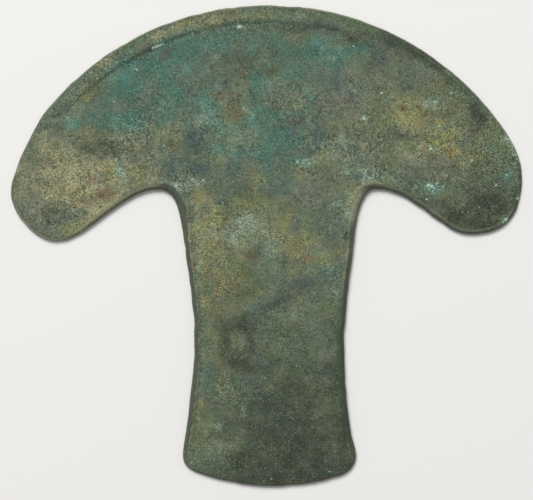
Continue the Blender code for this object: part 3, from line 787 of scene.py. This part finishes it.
# The edge's lines, one over another: what the distance is measured by, the line's two sides and the
# softness of them in millimetres, where it runs, its strength and its colour.
rim_here = layer("rim")
margin_here = layer("margin")
step_here = layer("step")
dark_margin = layer("dark_margin")
light_margin = reckon("SUBTRACT", margin_here, product(margin_here, dark_margin))
crest = varied(layer("crest"), mottle(2.0, 3.0, 0.6, 83.0), 0.9)
reach = varied(rim_here, mottle(3.0, 4.0, 0.7, 55.0), 0.9)
uneven = between(0.3, 0.7, mottle(4.0, 3.0, 0.7, 91.0))
patchy = between(0.35, 0.6, mottle(6.0, 2.0, 0.6, 95.0), 0.35, 1.0)
height = node("SeparateXYZ")
links.new(in_millimetres.outputs[0], height.inputs[0])
rubbed = between(0.8, 1.7, height.outputs["Z"], 0.15, 0.9)
EDGE_LINES = (
    # The margin's outer slope: partly its own dull colour, partly painted shade.
    (crest, 0.0, 1.3, 0.2, margin_here, 0.85, FLANK_AND_SHADE),
    # Painted shade on the rim where it faces down the plate, away from the light.
    (rim_here, -1.0, 0.435, 0.185, layer("shade"), 0.75, FLANK_AND_SHADE),
    # Painted shade: the dark line in the valley inside the margin's crest.
    (crest, 1.0, 1.35, 0.15, product(margin_here, uneven), 0.75, DEEP_GREEN),
    (crest, 1.5, 2.0, 0.2, product(light_margin, uneven), 0.4, WORN_AND_HIGHLIGHT),
    # Partly dark patina, partly painted shade along the right margin below the waist.
    (crest, -1.0, 2.2, 0.6, dark_margin, 0.5, DEEP_GREEN),
    # Painted highlight, over pale wear, on the down-facing edges of the wings, the left tip and the right
    # armpit.
    (rim_here, 0.65, 1.35, 0.3, layer("under"), 0.7, PALE_EDGE_AND_HIGHLIGHT),
    (rim_here, 0.1, 0.6, 0.15, layer("tip"), 0.6, PALE_EDGE_AND_HIGHLIGHT),
    (rim_here, 0.4, 2.1, 0.4, layer("armpit"), 0.45, PALE_EDGE_AND_HIGHLIGHT),
    # Painted shade: the dark line in the groove below the crown's lip.
    (reach, 4.5, 5.4, 0.6, product(layer("lip"), patchy), 0.5, GROOVE_SHADE),
    (rim_here, 0.45, 0.8, 0.15, layer("hairline"), 0.55, DEEP_GREEN),
    (reach, 1.0, 1.2, 0.15, step_here, 0.2, WORN_AND_HIGHLIGHT),
    # Painted shade: the dark line at the foot of the step.
    (reach, 1.5, 1.95, 0.2, step_here, 0.55, DEEP_GREEN),
    (reach, 0.5, 3.0, 0.6, step_here, 0.2, DEEP_GREEN),
    # The rim's pale line: painted highlight where the rim faces up the plate, towards the light, over a
    # little wear.
    (rim_here, -1.0, 0.39, 0.11, product(layer("rim_highlight_and_wear"), rubbed), 1.0, WORN_AND_HIGHLIGHT),
)
for distance, inner, outer, soft, where, strength, pigment in EDGE_LINES:
    share = product(line(distance, inner, outer, soft), where, strength)
    colour = laid_over(share, colour, pigment)

# The crystals that stand alone: each a small bright core of uneven shape in a turquoise bloom.
FRAY = 1.1
FRAYS_PER_MM = 1.4
FAR_AWAY = 9.0
in_plane = node("Mapping")
in_plane.inputs["Scale"].default_value = (1 / MM, 1 / MM, 0.0)
in_plane.inputs["Location"].default_value = (-0.5 * FRAY, -0.5 * FRAY, 0.0)
links.new(node("TexCoord").outputs["Object"], in_plane.inputs["Vector"])
fray = node("TexNoise")
fray.inputs["Scale"].default_value = FRAYS_PER_MM
fray.inputs["Detail"].default_value = 2.0
links.new(in_millimetres.outputs[0], fray.inputs["Vector"])
frayed = node("VectorMath", operation="MULTIPLY_ADD")
feed(frayed.inputs[0], fray.outputs["Color"])
frayed.inputs[1].default_value = (FRAY, FRAY, 0.0)
feed(frayed.inputs[2], in_plane.outputs[0])
nearest_crystal = FAR_AWAY
for x, y, size in CRYSTALS:
    apart = node("VectorMath", operation="DISTANCE")
    feed(apart.inputs[0], frayed.outputs["Vector"])
    apart.inputs[1].default_value = (x, y, 0.0)
    sizes_away = reckon("DIVIDE", apart.outputs["Value"], size)
    nearest_crystal = reckon("MINIMUM", nearest_crystal, sizes_away)
bloom = product(between(1.9, 0.9, nearest_crystal), layer("face"), BLOOM_SHARE)
core = product(between(1.0, 0.5, nearest_crystal), layer("face"), CRYSTAL_SHARE)
colour = laid_over(core, laid_over(bloom, colour, BLOOM), CRYSTAL)

surface = node("BsdfPrincipled")
feed(surface.inputs["Base Color"], colour)
feed(surface.inputs["Roughness"], between(0.3, 0.7, grain, 0.92, 0.7))
surface.inputs["Metallic"].default_value = 0.0
surface.inputs["Specular IOR Level"].default_value = 0.25
relief = node("Bump")
relief.inputs["Strength"].default_value = 0.7
relief.inputs["Distance"].default_value = 0.05 * MM
feed(relief.inputs["Height"], reckon("MULTIPLY_ADD", sand, 0.8, dust))
feed(surface.inputs["Normal"], relief.outputs[0])
feed(node("OutputMaterial").inputs["Surface"], surface.outputs[0])
plate_mesh.materials.append(patina)

# ----------------------------------------------------------------------------------------------------
# The table, the lights and the camera. The axe money lies on a plain pale top under one broad soft
# light from beyond its crown, a little to the left, and the camera looks straight down on it.
# ----------------------------------------------------------------------------------------------------
FLOOR_HALF = 15.0
FLOOR_DROP = 0.02 * MM
FLOOR_COLOUR = (0.80, 0.79, 0.77)
KEY_PLACE = Vector((-0.6, 1.49, 1.8))
KEY_SIZE = 1.3
KEY_POWER = 60.0
SKY_STRENGTH = 0.36
CAMERA_HEIGHT = 0.435
CAMERA_LENS = 100.0
VIEW_CENTRE = (-0.04 * MM, -1.35 * MM)

ground = bmesh.new()
bmesh.ops.create_grid(ground, x_segments=1, y_segments=1, size=FLOOR_HALF)
bmesh.ops.translate(ground, verts=ground.verts, vec=(0.0, 0.0, -FLOOR_DROP))
ground_mesh = bpy.data.meshes.new("table_top")
ground.to_mesh(ground_mesh)
ground.free()
table_top = bpy.data.objects.new("table_top", ground_mesh)
bpy.context.scene.collection.objects.link(table_top)
pale = bpy.data.materials.new("pale_table")
pale.use_nodes = True
pale_surface = pale.node_tree.nodes["Principled BSDF"]
pale_surface.inputs["Base Color"].default_value = (*FLOOR_COLOUR, 1.0)
pale_surface.inputs["Roughness"].default_value = 0.9
pale_surface.inputs["Specular IOR Level"].default_value = 0.1
ground_mesh.materials.append(pale)

key = bpy.data.lights.new("key_light", "AREA")
key.size = KEY_SIZE
key.energy = KEY_POWER
key_light = bpy.data.objects.new("key_light", key)
key_light.location = KEY_PLACE
key_light.rotation_euler = (-KEY_PLACE).to_track_quat("-Z", "Y").to_euler()
bpy.context.scene.collection.objects.link(key_light)

sky = bpy.data.worlds.new("soft_sky")
sky.use_nodes = True
sky.node_tree.nodes["Background"].inputs["Color"].default_value = (1.0, 1.0, 1.0, 1.0)
sky.node_tree.nodes["Background"].inputs["Strength"].default_value = SKY_STRENGTH
bpy.context.scene.world = sky
bpy.context.scene.view_settings.view_transform = "Standard"

lens = bpy.data.cameras.new("camera")
lens.lens = CAMERA_LENS
camera = bpy.data.objects.new("camera", lens)
camera.location = (*VIEW_CENTRE, CAMERA_HEIGHT)
bpy.context.scene.collection.objects.link(camera)
bpy.context.scene.camera = camera
